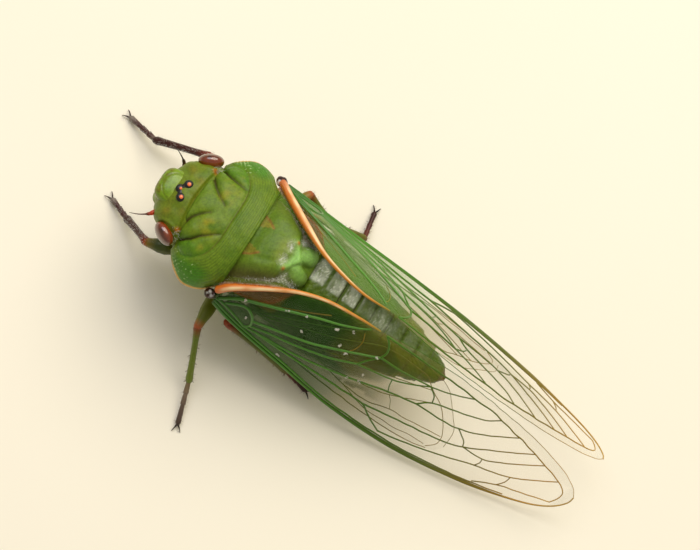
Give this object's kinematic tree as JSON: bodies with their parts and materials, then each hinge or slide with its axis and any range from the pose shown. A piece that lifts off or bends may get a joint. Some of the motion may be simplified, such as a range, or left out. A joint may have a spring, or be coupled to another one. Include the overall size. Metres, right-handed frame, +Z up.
{
  "type": "cicada model",
  "caption": "Still life-size model of a greengrocer cicada at rest, wings folded like a roof over its back, standing on its feet.",
  "frame": {"origin": "on the floor under the middle of the model's own box, at the level of the feet", "axes": "+Z up, -Y the way the head points, +X the animal's left side"},
  "size_m": [0.0384, 0.0742, 0.0205],
  "materials": {
    "shell_green": "satin green cuticle with a fine grain",
    "face_green": "glossy lime green cuticle",
    "abdomen_green": "dark green cuticle with white wax bloom",
    "underside_green": "pale dull green cuticle",
    "eye_brown": "glossy red-brown compound eye",
    "leg_brown": "dark red-brown cuticle",
    "wing_membrane": "clear glossy membrane with green to brown veins"
  },
  "bodies": {
    "root": {"head": "shell_green", "postclypeus": "face_green", "rostrum": "leg_brown", "eye_left": "eye_brown", "eye_right": "eye_brown", "antenna_left": "leg_brown", "antenna_right": "leg_brown", "pronotum": "shell_green", "thorax": "shell_green", "abdomen": "abdomen_green", "operculum_left": "underside_green", "operculum_right": "underside_green", "forewing_left": "wing_membrane", "forewing_right": "wing_membrane", "hindwing_left": "wing_membrane", "hindwing_right": "wing_membrane", "coxa_fore_left": "underside_green", "femur_fore_left": "shell_green", "tibia_fore_left": "leg_brown", "tarsus_fore_left": "leg_brown", "coxa_fore_right": "underside_green", "femur_fore_right": "shell_green", "tibia_fore_right": "leg_brown", "tarsus_fore_right": "leg_brown", "coxa_mid_left": "underside_green", "femur_mid_left": "shell_green", "tibia_mid_left": "shell_green", "tarsus_mid_left": "leg_brown", "coxa_mid_right": "underside_green", "femur_mid_right": "shell_green", "tibia_mid_right": "shell_green", "tarsus_mid_right": "leg_brown", "coxa_hind_left": "underside_green", "femur_hind_left": "shell_green", "tibia_hind_left": "shell_green", "tarsus_hind_left": "leg_brown", "coxa_hind_right": "underside_green", "femur_hind_right": "shell_green", "tibia_hind_right": "shell_green", "tarsus_hind_right": "leg_brown"}
  },
  "joints": []
}
